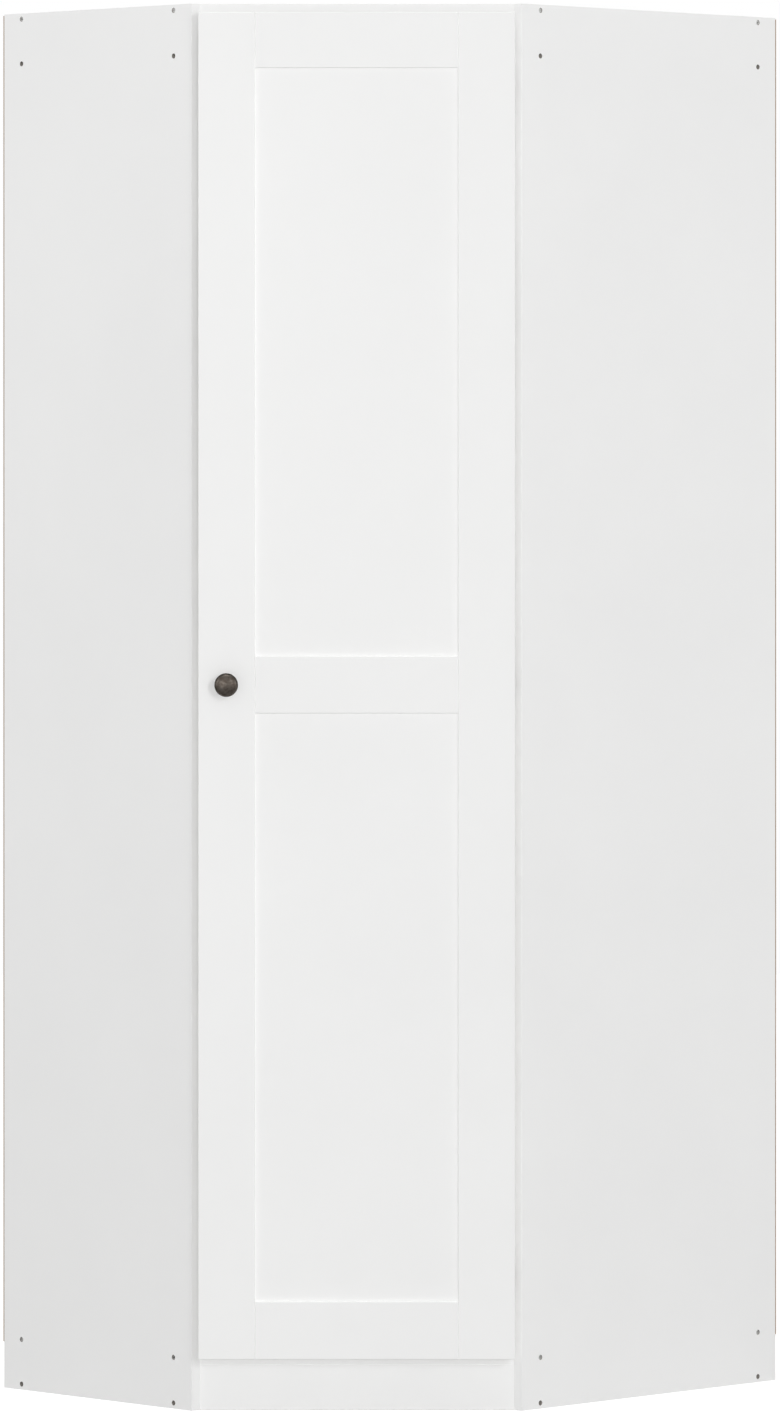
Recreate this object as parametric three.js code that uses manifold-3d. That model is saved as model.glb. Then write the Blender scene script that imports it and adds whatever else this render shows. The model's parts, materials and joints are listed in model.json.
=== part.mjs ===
// A corner wardrobe with a door across the diagonal front, in millimetres, +Z up.
// The two walls of the room's corner lie along +X and +Y. The left side panel stands square to the
// left wall, the right side panel square to the right wall, and the front runs between them at 45 degrees.
import * as THREE from 'three';
import { mergeVertices } from 'three/addons/utils/BufferGeometryUtils.js';
import Module from 'manifold-3d';

const wasm = await Module();
wasm.setup();

// Driving dimensions of the case
const height = 1970;
const leftDepth = 395; // left side, from the front corner to the wall
const rightDepth = 526; // right side, from the front corner to the wall
const frontLeg = 327; // how far the diagonal front runs along each wall
const board = 16; // faced chipboard
const backBoard = 2.5; // hardboard
const plinthHeight = 64;
const holeSetback = 37; // drilled rows, from the front and rear edges of a side panel
const backInset = 2; // the backs stop this far below the top and above the bottom panel's underside

// Screws and drilled holes
const holeRadius = 3.6;
const screwHeadLength = 4;
const screwSink = 0.8; // the head lies this far below the panel's face
const screwShankRadius = 2.5;
const screwLength = 48;
const screwRecessRadius = 1.9;
const screwRecessDepth = 2.2;

// Fits
const seatGap = 0.3; // between pieces that rest on each other inside a turned group
const overrun = 1; // how far a cutting tool runs past the face it cuts
const screwHeadRadius = holeRadius - seatGap;

// Door
const doorInset = 10; // from the outer front corners to the door's edges
const doorStandOff = 2; // the leaf's back in front of the outer front corners
const doorBelowTop = 13;
const doorAboveFloor = 74.5;
const leafThickness = 16;
const frameDepth = 5; // the frame strips stand this far in front of the leaf
const frameChamfer = 0.8;
const stileWidth = 79;
const topRailWidth = 78;
const middleRailWidth = 80;
const bottomRailWidth = 81;

// Knob
const knobRadius = 16.5;
const knobHeadHeight = 9;
const knobRimHeight = 3;
const knobNeckRadius = 6.5;
const knobNeckLength = 12;
const knobFootRadius = 9.5;
const knobFootHeight = 2.5;
const knobScrewRadius = 2;
const knobScrewHeadRadius = 4;
const knobScrewHeadHeight = 2.4;
const knobScrewBite = 12; // how far the screw reaches into the knob

// Concealed hinges
const hingeFromDoorEnd = 112;
const hingeAxisIn = 16; // hinge axis from the door's edge
const hingeAxisDeep = 6; // hinge axis into the leaf from its back face
const cupRadius = 17.5;
const cupWall = 1.6;
const cupDepth = 12;
const cupFloor = 1;
const cupFromEdge = 22.5; // the cup's centre from the door's edge
const cupFlangeThickness = 1.4;
const cupFlangeHalfHeight = 30;
const cupFlangeHalfWidth = 7;
const cupNotchHalfHeight = 9;
const cupScrewHalfSpacing = 24;
const cupScrewOffset = 6; // the flange's screws lie this far past the cup's centre
const cupScrewRadius = 1.8;
const cupScrewHeadRadius = 3.2;
const cupScrewHeadHeight = 1.5;
const cupScrewBite = 11; // into the leaf
const pinRadius = 1.6;
const eyeRadius = 3.2;
const armHalfHeight = 6.5;
const armThickness = 3.6;
const noseLength = 15;
const noseTilt = Math.PI / 6; // the arm's nose leaves the cup at this angle to the door
const crookOut = 4.5;
const crookDrop = 6.5;
const elbowIn = 5.5;
const elbowDrop = 7;
const armPastCorner = 2; // the straight part of the arm ends this far past the panel's front edge
const armBack = 60; // and starts this far behind it
const plateBossHeight = 9;
const plateBossFront = 20;
const plateBossBack = 56;
const plateBossHalfHeight = 7.5;
const plateWingHalfWidth = 6;
const plateWingHalfHeight = 24;
const plateWingThickness = 2;
const armScrewBehindWing = 11;
const armScrewRadius = 2;
const armScrewHeadRadius = 3.6;
const armScrewHeadHeight = 1.6;
const armScrewLength = 9;

// Inside
const postSide = 30;
const hatSpace = 282; // clear height over the shelf
const shelfClearance = 1;
const shelfSetback = 34; // the shelf's front edge behind the line of the outer front corners
const shelfPinRadius = 2.5;
const shelfPinInBoard = 9;
const shelfPinOut = 9;
const shelfPinFrontIn = 60;
const shelfPinRearIn = 60;
const railRadius = 12.5;
const railWall = 1.2;
const railLength = 720;
const railBehindFront = 262;
const railBelowShelf = 52; // the rail's centre under the shelf
const railBracketFromEnd = 62;
const bracketRingWall = 4;
const bracketHalfWidth = 7;
const bracketPlateHalfLength = 32;
const bracketPlateHalfWidth = 12;
const bracketPlateThickness = 4;
const bracketStemHalfWidth = 5;
const capThickness = 3;
const capRadius = 15;
const capPlugLength = 12;
const plinthBlockSide = 34;
const plinthBlockHeight = 50;
const footSide = 62;

// Facets
const roundFacets = 40;
const smallFacets = 20;
const domeSteps = 7;

// Places that follow from the sizes above
const width = rightDepth + frontLeg;
const depth = leftDepth + frontLeg;
const frontWidth = Math.hypot(frontLeg, frontLeg);
const cornerInset = board * Math.SQRT1_2; // inner front corners behind the outer ones, and in from them
const innerRight = width - backBoard;
const innerRear = depth - backBoard;
const bottomTop = plinthHeight + board;
const topUnderside = height - board;
const shelfTop = topUnderside - hatSpace;
const screwHeights = [plinthHeight + board / 2, height - board / 2];
const spareHeights = [board / 2, height - board / 2 - plinthHeight];

const doorLeft = frontWidth - doorInset;
const doorTop = height - doorBelowTop;
const leafFront = doorStandOff + leafThickness;
const doorFront = leafFront + frameDepth;
const middleRailCentre = (doorAboveFloor + bottomRailWidth + doorTop - topRailWidth) / 2;
const hingeAxis = new THREE.Vector2(doorInset + hingeAxisIn, doorStandOff + hingeAxisDeep);
const cupCentre = doorInset + cupFromEdge;
const hingeHeights = [
  doorAboveFloor + hingeFromDoorEnd,
  (doorAboveFloor + doorTop) / 2,
  doorTop - hingeFromDoorEnd,
];

// Finishes
const finish = (color, roughness, metalness = 0) => new THREE.MeshStandardMaterial({ color, roughness, metalness });
const white = () => finish(0xf1f1ee, 0.45);
const hardboard = () => finish(0x9a7350, 0.8);
const softwood = () => finish(0xcfae80, 0.7);
const bronze = () => finish(0x554e48, 0.42, 0.8);
const nickel = () => finish(0xb9bbbd, 0.3, 0.9);
const zinc = () => finish(0x8f9193, 0.4, 0.9);
const chrome = () => finish(0xc9cbce, 0.12, 1);
const plastic = () => finish(0xe9e8e4, 0.5);

// Solids and meshes
function solid(geometry) {
  const bare = geometry.clone();
  bare.deleteAttribute('normal');
  bare.deleteAttribute('uv');
  const merged = mergeVertices(bare);
  return new wasm.Manifold(new wasm.Mesh({
    numProp: 3,
    vertProperties: new Float32Array(merged.attributes.position.array),
    triVerts: new Uint32Array(merged.index.array),
  }));
}

function geometryOf(manifold) {
  const mesh = manifold.getMesh();
  const geometry = new THREE.BufferGeometry();
  geometry.setAttribute('position', new THREE.BufferAttribute(new Float32Array(mesh.vertProperties), 3));
  geometry.setIndex(new THREE.BufferAttribute(new Uint32Array(mesh.triVerts), 1));
  geometry.computeVertexNormals();
  return geometry;
}

const cut = (body, tools) => geometryOf(tools.reduce((rest, tool) => rest.subtract(solid(tool)), solid(body)));
const join = (pieces) => geometryOf(pieces.slice(1).reduce((sum, piece) => sum.add(solid(piece)), solid(pieces[0])));
const common = (a, b) => geometryOf(solid(a).intersect(solid(b)));

// A box between two corners
function box(low, high) {
  const size = low.map((value, i) => high[i] - value);
  const middle = low.map((value, i) => (high[i] + value) / 2);
  return new THREE.BoxGeometry(...size).translate(...middle);
}

// An outline in plan, standing between two heights
function prism(points, low, high) {
  const shape = new THREE.Shape(points.map(([x, y]) => new THREE.Vector2(x, y)));
  return new THREE.ExtrudeGeometry(shape, { depth: high - low, bevelEnabled: false }).translate(0, 0, low);
}

// A turned piece: radius and place pairs along +Y, closed on the axis
function turned(profile, facets = smallFacets) {
  const points = profile.map(([radius, place]) => new THREE.Vector2(radius, place));
  return new THREE.LatheGeometry(points, facets);
}

const rod = (radius, from, to, facets = smallFacets) => turned([[0, from], [radius, from], [radius, to], [0, to]], facets);
const alongX = (geometry) => geometry.rotateZ(-Math.PI / 2);
const alongZ = (geometry) => geometry.rotateX(Math.PI / 2);

function place(parent, name, geometry, material, x = 0, y = 0, z = 0) {
  const mesh = new THREE.Mesh(geometry, material);
  mesh.name = name;
  mesh.position.set(x, y, z);
  parent.add(mesh);
  return mesh;
}

const wardrobe = new THREE.Group();
const carcass = new THREE.Group();
// The front's own frame stands on the right outer front corner: +X across the front towards the left
// corner, +Y out of the front. The front is turned, so pieces there keep a small gap to each other.
const front = new THREE.Group();
front.position.set(frontLeg, 0, 0);
front.rotation.z = Math.PI * 3 / 4;
wardrobe.add(carcass, front);

// Case: each side panel has a drilled row near its front and rear edges, alike at both ends.
const leftRows = [frontLeg + holeSetback, innerRear - holeSetback];
const rightRows = [frontLeg + holeSetback, innerRight - holeSetback];
const shelfPinHeight = shelfTop - board - seatGap - shelfPinRadius;
const leftPins = [frontLeg + shelfPinFrontIn, innerRear - shelfPinRearIn];
const rightPins = [frontLeg + shelfPinFrontIn, innerRight - shelfPinRearIn];

function sidePanels() {
  const drill = () => rod(holeRadius, -overrun, board + overrun);
  const pinHole = () => rod(shelfPinRadius + seatGap, board - shelfPinInBoard - seatGap, board + overrun);
  const heights = [...screwHeights, ...spareHeights];
  const leftHoles = leftRows.flatMap((y) => heights.map((z) => alongX(drill()).translate(0, y, z)));
  const rightHoles = rightRows.flatMap((x) => heights.map((z) => drill().translate(x, 0, z)));
  leftHoles.push(...leftPins.map((y) => alongX(pinHole()).translate(0, y, shelfPinHeight)));
  rightHoles.push(...rightPins.map((x) => pinHole().translate(x, 0, shelfPinHeight)));
  const left = box([0, frontLeg, 0], [board, innerRear, height]);
  const right = box([frontLeg, 0, 0], [innerRight, board, height]);
  place(carcass, 'left_side_panel', cut(left, leftHoles), white());
  place(carcass, 'right_side_panel', cut(right, rightHoles), white());
}

// The five-sided outline between the side panels and the backs
const deckOutline = [
  [board, frontLeg], [frontLeg, board], [innerRight, board], [innerRight, innerRear], [board, innerRear],
];

function decks() {
  const reach = screwLength + screwSink + seatGap;
  const pilot = () => rod(screwShankRadius + seatGap, board - overrun, reach);
  [['bottom_panel', plinthHeight, screwHeights[0]], ['top_panel', topUnderside, screwHeights[1]]]
    .forEach(([name, low, z]) => {
      const pilots = [
        ...leftRows.map((y) => alongX(pilot()).translate(0, y, z)),
        ...rightRows.map((x) => pilot().translate(x, 0, z)),
      ];
      place(carcass, name, cut(prism(deckOutline, low, low + board), pilots), white());
    });
}

function carcassScrews() {
  const headEnd = screwSink + screwHeadLength;
  const screw = () => turned([
    [0, screwSink + screwRecessDepth],
    [screwRecessRadius, screwSink + screwRecessDepth],
    [screwRecessRadius, screwSink],
    [screwHeadRadius, screwSink],
    [screwHeadRadius, headEnd],
    [screwShankRadius, headEnd],
    [screwShankRadius, screwLength],
    [0, screwLength],
  ]);
  screwHeights.forEach((z, i) => {
    const end = ['bottom', 'top'][i];
    leftRows.forEach((y, k) => {
      place(carcass, `screw_left_${end}_${['front', 'rear'][k]}`, alongX(screw()), zinc(), 0, y, z);
    });
    rightRows.forEach((x, k) => {
      place(carcass, `screw_right_${end}_${['front', 'rear'][k]}`, screw(), zinc(), x, 0, z);
    });
  });
}

function backs() {
  const low = plinthHeight + backInset;
  const high = height - backInset;
  place(carcass, 'left_back', box([0, innerRear, low], [innerRight, depth, high]), hardboard());
  place(carcass, 'right_back', box([innerRight, 0, low], [width, depth, high]), hardboard());
}

function supports() {
  const post = box([innerRight - postSide, innerRear - postSide, bottomTop], [innerRight, innerRear, topUnderside]);
  const pinHole = alongX(rod(shelfPinRadius + seatGap, -overrun, shelfPinInBoard + seatGap));
  pinHole.translate(innerRight - postSide, innerRear - postSide / 2, shelfPinHeight);
  place(carcass, 'corner_post', cut(post, [pinHole]), softwood());
  const foot = box([innerRight - footSide, innerRear - footSide, 0], [innerRight, innerRear, plinthHeight]);
  place(carcass, 'rear_foot', foot, softwood());
}

// The plinth's ends are cut at 45 degrees and lie against the inner faces of the side panels.
function plinth() {
  const back = board * Math.SQRT2;
  const outline = [[board, frontLeg], [frontLeg, board], [frontLeg + back, board], [board, frontLeg + back]];
  place(carcass, 'plinth_board', prism(outline, 0, plinthHeight), white());
  const from = frontLeg + back + seatGap;
  const side = board + plinthBlockSide;
  const leftBlock = [
    [board, from], [side, from - plinthBlockSide], [side, from + plinthBlockSide], [board, from + plinthBlockSide],
  ];
  const rightBlock = leftBlock.map(([x, y]) => [y, x]).reverse();
  const low = plinthHeight - plinthBlockHeight;
  place(carcass, 'plinth_block_left', prism(leftBlock, low, plinthHeight), softwood());
  place(carcass, 'plinth_block_right', prism(rightBlock, low, plinthHeight), softwood());
}

function shelf() {
  const back = shelfSetback * Math.SQRT2;
  const side = board + shelfClearance;
  const right = innerRight - shelfClearance;
  const rear = innerRear - shelfClearance;
  const notchX = innerRight - postSide - shelfClearance;
  const notchY = innerRear - postSide - shelfClearance;
  const outline = [
    [side, frontLeg + back - side], [frontLeg + back - side, side], [right, side],
    [right, notchY], [notchX, notchY], [notchX, rear], [side, rear],
  ];
  place(carcass, 'hat_shelf', prism(outline, shelfTop - board, shelfTop), white());
  const pin = () => rod(shelfPinRadius, -shelfPinInBoard, shelfPinOut);
  leftPins.forEach((y, k) => {
    place(carcass, `shelf_pin_left_${['front', 'rear'][k]}`, alongX(pin()), nickel(), board, y, shelfPinHeight);
  });
  rightPins.forEach((x, k) => {
    place(carcass, `shelf_pin_right_${['front', 'rear'][k]}`, pin(), nickel(), x, board, shelfPinHeight);
  });
  const postPin = alongX(rod(shelfPinRadius, -shelfPinOut, shelfPinInBoard));
  place(carcass, 'shelf_pin_post', postPin, nickel(), innerRight - postSide, innerRear - postSide / 2, shelfPinHeight);
}

// Clothes rail: a tube under the shelf, parallel to the front, hung from two brackets.
const railPlace = [frontWidth / 2, -railBehindFront, shelfTop - board - railBelowShelf];

function clothesRail() {
  const half = railLength / 2;
  const bore = railRadius - railWall;
  const rail = new THREE.Group();
  rail.position.set(...railPlace);
  front.add(rail);
  const tube = turned([[bore, -half], [railRadius, -half], [railRadius, half], [bore, half], [bore, -half]], roundFacets);
  place(rail, 'clothes_rail', alongX(tube), chrome());

  const plate = box(
    [-bracketPlateHalfLength, -bracketPlateHalfWidth, railBelowShelf - bracketPlateThickness - seatGap],
    [bracketPlateHalfLength, bracketPlateHalfWidth, railBelowShelf - seatGap],
  );
  const stem = box(
    [-bracketHalfWidth, -bracketStemHalfWidth, railRadius + bracketRingWall / 2],
    [bracketHalfWidth, bracketStemHalfWidth, railBelowShelf - bracketPlateThickness / 2],
  );
  const ring = alongX(rod(railRadius + bracketRingWall, -bracketHalfWidth, bracketHalfWidth, roundFacets));
  const hole = alongX(rod(railRadius + seatGap, -bracketHalfWidth - overrun, bracketHalfWidth + overrun, roundFacets));
  const capLip = capThickness + seatGap;
  ['right', 'left'].forEach((side, i) => {
    const way = i * 2 - 1;
    const bracket = cut(join([ring, stem, plate]), [hole]);
    place(rail, `rail_bracket_${side}`, bracket, plastic(), way * (half - railBracketFromEnd));
    const cap = turned([
      [0, -capPlugLength], [bore - seatGap, -capPlugLength], [bore - seatGap, seatGap],
      [capRadius, seatGap], [capRadius, capLip], [0, capLip],
    ], roundFacets);
    const outward = alongX(cap);
    if (way < 0) outward.rotateZ(Math.PI);
    place(rail, `rail_cap_${side}`, outward, plastic(), way * half);
  });
}

// Door: a plain leaf with five frame strips on its face, their front edges slightly chamfered
function chamferedStrip(left, right, low, high) {
  const back = leafFront + seatGap;
  const slope = (a, b) => [
    [a, back], [b, back], [b, doorFront - frameChamfer], [b - frameChamfer, doorFront],
    [a + frameChamfer, doorFront], [a, doorFront - frameChamfer],
  ];
  const upright = prism(slope(left, right), low, high);
  const across = prism(slope(low, high), left, right);
  // The second outline is drawn in height and depth, and lies along the width.
  across.applyMatrix4(new THREE.Matrix4().set(0, 0, 1, 0, 0, 1, 0, 0, 1, 0, 0, 0, 0, 0, 0, 1));
  const index = new THREE.BufferAttribute(new Uint32Array(across.attributes.position.count).map((_, i) => i), 1);
  across.setIndex(index);
  for (let i = 0; i < index.count; i += 3) {
    const second = index.getX(i + 1);
    index.setX(i + 1, index.getX(i + 2));
    index.setX(i + 2, second);
  }
  return common(upright, across);
}

const knobAcross = doorLeft - stileWidth / 2;
const cupScrewPlaces = [-1, 1].map((way) => [cupCentre + cupScrewOffset, way * cupScrewHalfSpacing]);
const knobScrewHole = () => rod(knobScrewRadius + seatGap, doorStandOff - overrun, doorFront + overrun)
  .translate(knobAcross, 0, middleRailCentre);

function door() {
  const cupBore = (z) => rod(cupRadius + seatGap, doorStandOff - overrun, doorStandOff + cupDepth + seatGap, roundFacets)
    .translate(cupCentre, 0, z);
  const cupPilots = hingeHeights.flatMap((z) => cupScrewPlaces.map(([x, offset]) => (
    rod(cupScrewRadius + seatGap, doorStandOff - overrun, doorStandOff + cupScrewBite + seatGap).translate(x, 0, z + offset)
  )));
  const leaf = box([doorInset, doorStandOff, doorAboveFloor], [doorLeft, leafFront, doorTop]);
  const drilled = cut(leaf, [...hingeHeights.map(cupBore), ...cupPilots, knobScrewHole()]);
  place(front, 'door_leaf', drilled, white());
  const inner = [doorInset + stileWidth + seatGap, doorLeft - stileWidth - seatGap];
  const halfMiddle = middleRailWidth / 2;
  const knobStile = chamferedStrip(doorLeft - stileWidth, doorLeft, doorAboveFloor, doorTop);
  place(front, 'door_stile_knob_side', cut(knobStile, [knobScrewHole()]), white());
  const hingeStile = chamferedStrip(doorInset, doorInset + stileWidth, doorAboveFloor, doorTop);
  place(front, 'door_stile_hinge_side', hingeStile, white());
  const rails = {
    door_rail_top: [doorTop - topRailWidth, doorTop],
    door_rail_middle: [middleRailCentre - halfMiddle, middleRailCentre + halfMiddle],
    door_rail_bottom: [doorAboveFloor, doorAboveFloor + bottomRailWidth],
  };
  Object.entries(rails).forEach(([name, [low, high]]) => {
    place(front, name, chamferedStrip(...inner, low, high), white());
  });
}

// Knob: a low dome with a thin rim on a waisted neck, held by a screw from inside the door
function knob() {
  const foot = doorFront + seatGap;
  const rim = foot + knobFootHeight + knobNeckLength;
  const dome = Array.from({ length: domeSteps }, (_, i) => {
    const turn = Math.PI / 2 * (i + 1) / domeSteps;
    return [knobRadius * Math.cos(turn), rim + knobRimHeight + (knobHeadHeight - knobRimHeight) * Math.sin(turn)];
  });
  dome[domeSteps - 1][0] = 0;
  const head = turned([
    [0, foot], [knobFootRadius, foot], [knobFootRadius, foot + knobFootHeight / 2],
    [knobNeckRadius, foot + knobFootHeight], [knobNeckRadius, foot + knobNeckLength],
    [knobRadius - knobRimHeight, rim], [knobRadius, rim + knobRimHeight / 2],
    [knobRadius, rim + knobRimHeight], ...dome,
  ], roundFacets);
  const thread = rod(knobScrewRadius + seatGap, foot - overrun, foot + knobScrewBite + seatGap);
  place(front, 'knob', cut(head, [thread]), bronze(), knobAcross, 0, middleRailCentre);
  const seat = doorStandOff - seatGap;
  const screw = turned([
    [0, seat - knobScrewHeadHeight], [knobScrewHeadRadius, seat - knobScrewHeadHeight],
    [knobScrewHeadRadius, seat], [knobScrewRadius, seat],
    [knobScrewRadius, foot + knobScrewBite], [0, foot + knobScrewBite],
  ]);
  place(front, 'knob_screw', screw, zinc(), knobAcross, 0, middleRailCentre);
}

// A place given by its distance behind the side panel's front edge and off its inner face
function offPanel(behind, off) {
  return [
    cornerInset + (off - behind) * Math.SQRT1_2,
    -cornerInset - (off + behind) * Math.SQRT1_2,
  ];
}

// A strap of even thickness along a bent line, as an outline
function strap(line, thickness) {
  const points = line.map(([x, y]) => new THREE.Vector2(x, y));
  const side = points.map((point, i) => {
    const ahead = points[Math.min(i + 1, points.length - 1)].clone().sub(points[Math.min(i, points.length - 2)]);
    const behind = points[Math.max(i, 1)].clone().sub(points[Math.max(i - 1, 0)]);
    ahead.normalize();
    behind.normalize();
    const bisector = ahead.clone().add(behind).normalize();
    const reach = thickness / 2 / bisector.dot(ahead);
    return new THREE.Vector2(-bisector.y * reach, bisector.x * reach);
  });
  const right = points.map((point, i) => point.clone().sub(side[i]).toArray());
  const left = points.map((point, i) => point.clone().add(side[i]).toArray());
  return [...right, ...left.reverse()];
}

// Hinges: a cup in the leaf, and an arm on the side panel whose nose turns on a pin across the cup.
// The arm leaves the cup towards the door's middle and bends back, so the opened door clears it.
function hingeArm() {
  const tip = [hingeAxis.x, hingeAxis.y];
  const mouth = [tip[0] + noseLength * Math.cos(noseTilt), tip[1] - noseLength * Math.sin(noseTilt)];
  const crook = [mouth[0] + crookOut, mouth[1] - crookDrop];
  const elbow = [crook[0] - elbowIn, crook[1] - elbowDrop];
  const off = plateBossHeight + seatGap + armThickness / 2;
  const line = [offPanel(armBack, off), offPanel(-armPastCorner, off), elbow, crook, mouth, tip];
  const bar = prism(strap(line, armThickness), -armHalfHeight, armHalfHeight);
  const eye = alongZ(rod(eyeRadius, -armHalfHeight, armHalfHeight)).translate(...tip, 0);
  const bore = alongZ(rod(pinRadius + seatGap, -armHalfHeight - overrun, armHalfHeight + overrun)).translate(...tip, 0);
  return cut(join([bar, eye]), [bore, armScrewTool(armScrewRadius + seatGap, overrun)]);
}

// The arm screw goes through the arm into the plate's boss, square to the panel.
function armScrewTool(radius, past) {
  const high = plateBossHeight + seatGap + armThickness;
  const shaft = rod(radius, high - armScrewLength - past, high + past);
  return standOnPanel(shaft, holeSetback + armScrewBehindWing);
}

function standOnPanel(geometry, behind) {
  return geometry.rotateZ(-Math.PI * 3 / 4).translate(...offPanel(behind, 0), 0);
}

function hingePlate() {
  const strip = (from, to, high) => [
    offPanel(to, seatGap), offPanel(from, seatGap), offPanel(from, high), offPanel(to, high),
  ];
  const boss = prism(strip(plateBossFront, plateBossBack, plateBossHeight), -plateBossHalfHeight, plateBossHalfHeight);
  const wingFrom = holeSetback - plateWingHalfWidth;
  const wingTo = holeSetback + plateWingHalfWidth;
  const wing = prism(strip(wingFrom, wingTo, plateWingThickness), -plateWingHalfHeight, plateWingHalfHeight);
  return cut(join([boss, wing]), [armScrewTool(armScrewRadius + seatGap, seatGap)]);
}

function armScrew() {
  const high = plateBossHeight + 2 * seatGap + armThickness;
  const screw = turned([
    [0, high - armScrewLength], [armScrewRadius, high - armScrewLength], [armScrewRadius, high],
    [armScrewHeadRadius, high], [armScrewHeadRadius, high + armScrewHeadHeight],
    [0, high + armScrewHeadHeight],
  ]);
  return standOnPanel(screw, holeSetback + armScrewBehindWing);
}

function hingeCup() {
  const back = doorStandOff;
  const inner = cupRadius - cupWall;
  const floor = back + cupDepth - cupFloor;
  const shell = turned([
    [0, floor], [inner, floor], [inner, back], [cupRadius, back], [cupRadius, back + cupDepth], [0, back + cupDepth],
  ], roundFacets);
  const flangeBack = back - seatGap - cupFlangeThickness;
  const ears = box(
    [cupScrewOffset - cupFlangeHalfWidth, flangeBack, -cupFlangeHalfHeight],
    [cupScrewOffset + cupFlangeHalfWidth, back - seatGap, cupFlangeHalfHeight],
  );
  const lip = rod(cupRadius + cupWall, flangeBack, back - seatGap, roundFacets);
  const collar = rod(cupRadius, flangeBack, back + overrun, roundFacets);
  const mouth = rod(inner, flangeBack - overrun, back + 2 * overrun, roundFacets);
  const notch = box(
    [-cupRadius - 2 * cupWall, flangeBack - overrun, -cupNotchHalfHeight],
    [hingeAxis.x - cupCentre - eyeRadius, back + hingeAxisDeep / 2, cupNotchHalfHeight],
  );
  const pinHole = alongZ(rod(pinRadius + seatGap, -cupRadius, cupRadius))
    .translate(hingeAxis.x - cupCentre, hingeAxis.y, 0);
  const screwHoles = cupScrewPlaces.map(([x, z]) => rod(cupScrewRadius + seatGap, flangeBack - overrun, back + overrun)
    .translate(x - cupCentre, 0, z));
  return cut(join([shell, collar, lip, ears]), [mouth, notch, pinHole, ...screwHoles]);
}

function cupScrew() {
  const seat = doorStandOff - 2 * seatGap - cupFlangeThickness;
  return turned([
    [0, seat - cupScrewHeadHeight], [cupScrewHeadRadius / 2, seat - cupScrewHeadHeight],
    [cupScrewHeadRadius, seat], [cupScrewRadius, seat],
    [cupScrewRadius, doorStandOff + cupScrewBite], [0, doorStandOff + cupScrewBite],
  ]);
}

function hinges() {
  const pinHalf = Math.sqrt(cupRadius ** 2 - (cupCentre - hingeAxis.x + pinRadius) ** 2) - seatGap;
  hingeHeights.forEach((z, i) => {
    const level = ['bottom', 'middle', 'top'][i];
    place(front, `hinge_plate_${level}`, hingePlate(), nickel(), 0, 0, z);
    place(front, `hinge_arm_${level}`, hingeArm(), nickel(), 0, 0, z);
    place(front, `hinge_arm_screw_${level}`, armScrew(), zinc(), 0, 0, z);
    place(front, `hinge_cup_${level}`, hingeCup(), nickel(), cupCentre, 0, z);
    cupScrewPlaces.forEach(([x, offset], k) => {
      const name = `hinge_cup_screw_${level}_${['lower', 'upper'][k]}`;
      place(front, name, cupScrew(), zinc(), x, 0, z + offset);
    });
    place(front, `hinge_pin_${level}`, alongZ(rod(pinRadius, -pinHalf, pinHalf)), zinc(), hingeAxis.x, hingeAxis.y, z);
  });
}

sidePanels();
decks();
carcassScrews();
backs();
supports();
plinth();
shelf();
clothesRail();
door();
knob();
hinges();

// The origin is the bottom centre of the whole wardrobe's box, with the door shut.
const bounds = new THREE.Box3().setFromObject(wardrobe, true);
const middle = bounds.getCenter(new THREE.Vector3());
wardrobe.position.set(-middle.x, -middle.y, 0);
const group = new THREE.Group();
group.add(wardrobe);

export default group;
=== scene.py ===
# %% [markdown]
# # A white corner wardrobe, dressed around its measured frame
# The frame that this script loads already has the boards, the hinges and most screws, at their true sizes
# and places. What it lacks is finish: eased edges, turned metal that is really round, foil and bronze.
# Each cell below takes one of these, says what it is on the real wardrobe, and makes it.

# %% Load the frame
import json
import math

import bmesh
import bpy
from mathutils import Matrix, Vector

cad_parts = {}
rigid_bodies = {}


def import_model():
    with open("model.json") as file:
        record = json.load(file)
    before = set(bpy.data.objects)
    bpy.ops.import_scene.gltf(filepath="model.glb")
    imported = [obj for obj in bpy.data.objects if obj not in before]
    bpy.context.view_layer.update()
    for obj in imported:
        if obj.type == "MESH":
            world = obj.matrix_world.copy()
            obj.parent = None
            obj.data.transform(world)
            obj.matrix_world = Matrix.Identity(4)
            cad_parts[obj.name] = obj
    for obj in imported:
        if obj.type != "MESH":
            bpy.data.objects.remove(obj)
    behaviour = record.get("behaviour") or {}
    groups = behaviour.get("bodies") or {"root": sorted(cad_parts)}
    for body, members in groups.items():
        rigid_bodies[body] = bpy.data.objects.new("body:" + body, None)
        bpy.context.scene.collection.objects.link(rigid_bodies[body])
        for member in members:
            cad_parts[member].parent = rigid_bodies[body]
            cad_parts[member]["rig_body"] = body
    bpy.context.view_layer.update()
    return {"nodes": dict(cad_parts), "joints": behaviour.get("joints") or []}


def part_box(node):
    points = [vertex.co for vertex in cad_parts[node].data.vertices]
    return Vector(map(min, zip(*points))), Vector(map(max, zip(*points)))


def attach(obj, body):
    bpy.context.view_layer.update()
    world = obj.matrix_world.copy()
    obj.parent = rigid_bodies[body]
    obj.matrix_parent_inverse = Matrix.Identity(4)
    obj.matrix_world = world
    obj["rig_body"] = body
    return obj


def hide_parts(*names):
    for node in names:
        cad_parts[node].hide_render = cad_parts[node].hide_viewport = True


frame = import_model()

# %% [markdown]
# The door and its fittings lie across the corner at 45 degrees. It is easier to build them in the front's
# own axes, so this cell works out a matrix for these from the two side panels: across the front towards
# the left corner, out of the front, and up. Lengths are in metres, and MM turns millimetres into them.

# %% The front's own axes
MM = 0.001
left_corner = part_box("left_side_panel")[0]
right_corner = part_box("right_side_panel")[0]
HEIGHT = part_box("left_side_panel")[1].z
ACROSS = (left_corner - right_corner).normalized()
OUT = Vector((-1, -1, 0)).normalized()
UP = Vector((0, 0, 1))
FRONT_WIDTH = (left_corner - right_corner).length
FRONT = Matrix.Translation(right_corner) @ Matrix.Rotation(math.radians(135), 4, "Z")
hinge_axis = Vector(frame["joints"][0]["pos_m"])


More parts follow.
